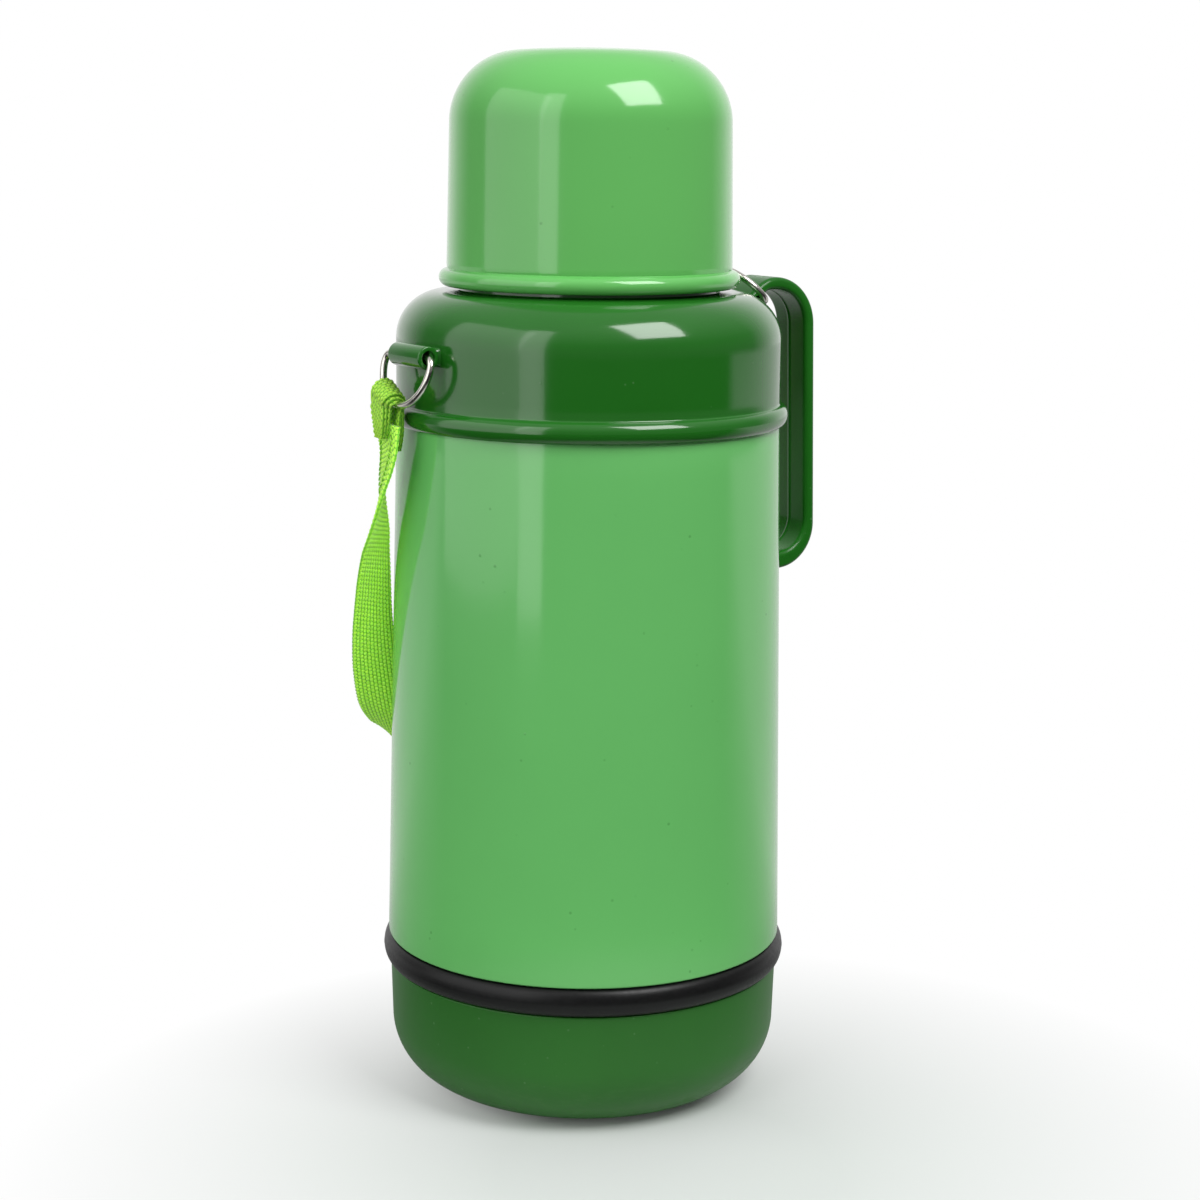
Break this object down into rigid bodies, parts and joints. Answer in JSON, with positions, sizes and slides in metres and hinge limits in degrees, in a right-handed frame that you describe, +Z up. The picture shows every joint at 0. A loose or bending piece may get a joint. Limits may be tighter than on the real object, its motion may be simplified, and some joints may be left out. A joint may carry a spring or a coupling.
{
  "type": "vacuum flask",
  "caption": "Tall vacuum flask with a screw-on drinking cup, screw stopper, glass refill, side handle, D-rings and a webbing carrying strap.",
  "frame": {"origin": "on the flask's axis, at the face that it stands on", "axes": "+Z up along the flask's axis, +X towards the carrying handle, -X towards the strap lug"},
  "size_m": [0.1554, 0.1361, 0.3248],
  "materials": {
    "light_green_plastic": "high gloss moulded light green",
    "dark_green_plastic": "gloss moulded dark green",
    "black_rubber": "satin black rubber",
    "cream_plastic": "satin cream",
    "silvered_glass": "silvered on the inner faces",
    "felt": "pressed grey pad",
    "foam": "white expanded foam",
    "silicone": "translucent silicone",
    "steel": "zinc plated",
    "nickel_wire": "nickel plated wire",
    "lime_webbing": "woven polypropylene webbing"
  },
  "bodies": {
    "base": {"base_cup": "dark_green_plastic", "base_ring": "black_rubber", "refill_support": "cream_plastic", "refill_cushion": "black_rubber"},
    "flask": {"body_shell": "light_green_plastic", "glass_outer": "silvered_glass", "glass_inner": "silvered_glass", "spacer_pad_1": "felt", "spacer_pad_2": "felt", "spacer_pad_3": "felt", "shock_ring": "foam", "mouth_seal": "silicone", "shoulder": "dark_green_plastic", "handle": "dark_green_plastic", "handle_screw_1": "steel", "handle_screw_2": "steel", "strap_left": "lime_webbing", "strap_right": "lime_webbing"},
    "cup": {"cup": "light_green_plastic"},
    "stopper_seal": {"stopper_seal": "silicone"},
    "stopper": {"stopper_body": "cream_plastic", "stopper_lid": "cream_plastic", "stopper_foam": "foam"},
    "ring_left": {"ring_left": "nickel_wire"},
    "ring_right": {"ring_right": "nickel_wire"}
  },
  "joints": [
    {"name": "base_unscrew", "type": "slide", "parent": "base", "child": "flask", "axis": [0, 0, 1], "range_m": [0, 0.024]},
    {"name": "cup_lift", "type": "slide", "parent": "flask", "child": "cup", "axis": [0, 0, 1], "range_m": [0, 0.09]},
    {"name": "stopper_lift", "type": "slide", "parent": "flask", "child": "stopper_seal", "axis": [0, 0, 1], "range_m": [0, 0.0051]},
    {"name": "stopper_turn", "type": "hinge", "parent": "stopper_seal", "child": "stopper", "pos_m": [0, 0, 0.265], "axis": [0, 0, 1], "range_deg": [0, 450]},
    {"name": "ring_left_swing", "type": "hinge", "parent": "flask", "child": "ring_left", "pos_m": [-0.0628, 0, 0.2345], "axis": [0, 1, 0], "range_deg": [0, 90], "deforming": ["strap_left"]},
    {"name": "ring_right_swing", "type": "hinge", "parent": "flask", "child": "ring_right", "pos_m": [0.059, 0, 0.2474], "axis": [0, 1, 0], "range_deg": [0, 80], "deforming": ["strap_right"]}
  ],
  "couplings": [
    {"joint": "stopper_lift", "follows": "stopper_turn", "m_per_rad": 0.00063662}
  ]
}
